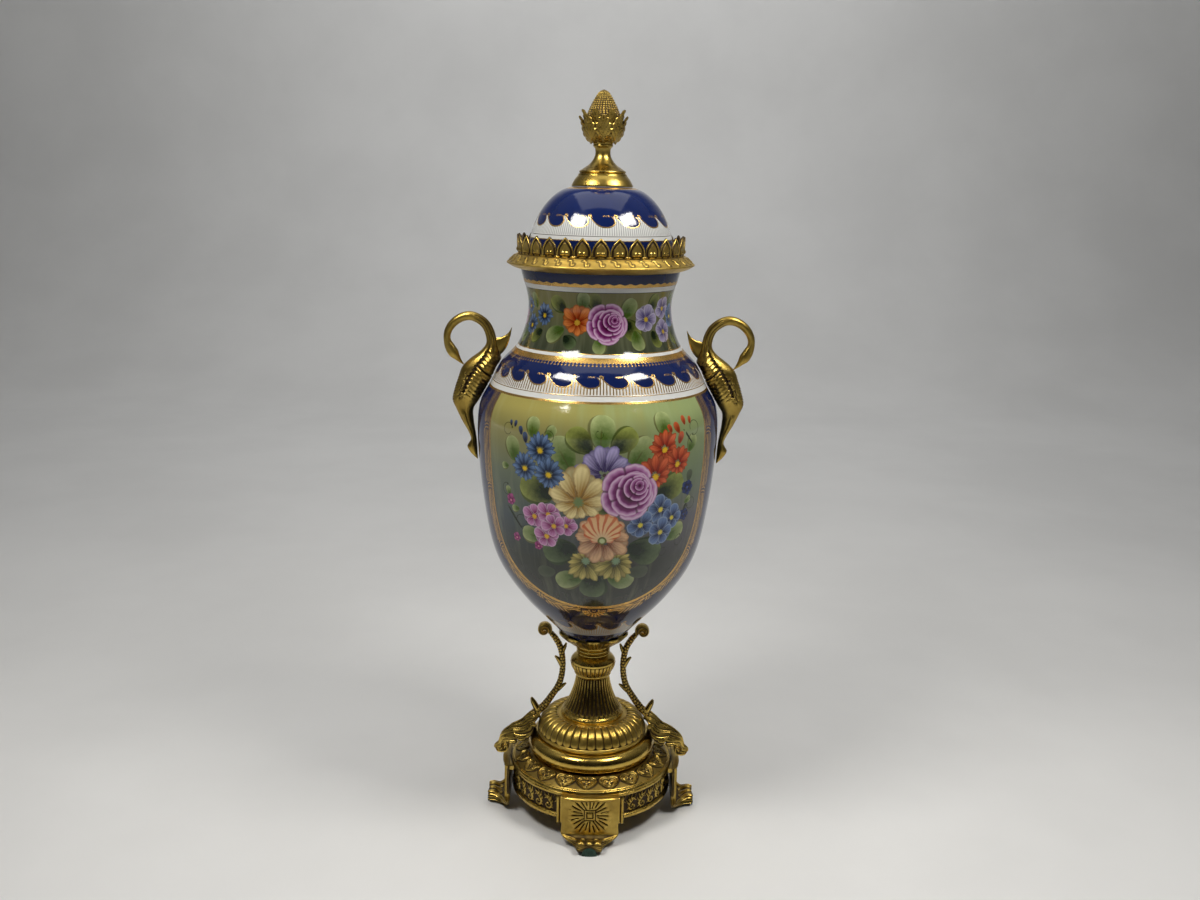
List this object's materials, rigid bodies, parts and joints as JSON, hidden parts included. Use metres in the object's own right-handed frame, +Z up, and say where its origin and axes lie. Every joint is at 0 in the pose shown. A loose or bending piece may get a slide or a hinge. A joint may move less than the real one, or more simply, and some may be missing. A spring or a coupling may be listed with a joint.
{
  "type": "mantel urn",
  "caption": "Tall covered porcelain mantel urn with a painted flower panel, mounted in gilt brass with swan handles, scroll arms and a round footed base.",
  "frame": {"origin": "on the floor, under the middle of the base", "axes": "+Z up along the axis of the vase; -Y towards the painted front; +X and -X towards the swan handles"},
  "size_m": [0.3186, 0.248, 0.762],
  "materials": {
    "porcelain_vase": "glazed, cobalt with a painted panel and gilding",
    "porcelain_lid": "glazed, cobalt over white with gilt waves",
    "gilt_brass": "polished antique gilt brass",
    "satin_brass": "satin gilt brass",
    "antique_brass": "darker antique brass, polished on the high parts",
    "green_felt": "felt"
  },
  "bodies": {
    "root": {"vase": "porcelain_vase", "lid_dome": "porcelain_lid", "finial": "gilt_brass", "mouth_flange": "satin_brass", "leaf_crown": "gilt_brass", "calyx": "gilt_brass", "knop": "gilt_brass", "stem": "gilt_brass", "base_dome": "gilt_brass", "base_torus": "gilt_brass", "base_drum": "gilt_brass", "leg_front": "gilt_brass", "leg_back": "gilt_brass", "leg_left": "gilt_brass", "leg_right": "gilt_brass", "felt_front": "green_felt", "felt_back": "green_felt", "felt_left": "green_felt", "felt_right": "green_felt", "arm_left": "gilt_brass", "arm_right": "gilt_brass", "swan_left": "antique_brass", "swan_right": "antique_brass"}
  },
  "joints": []
}
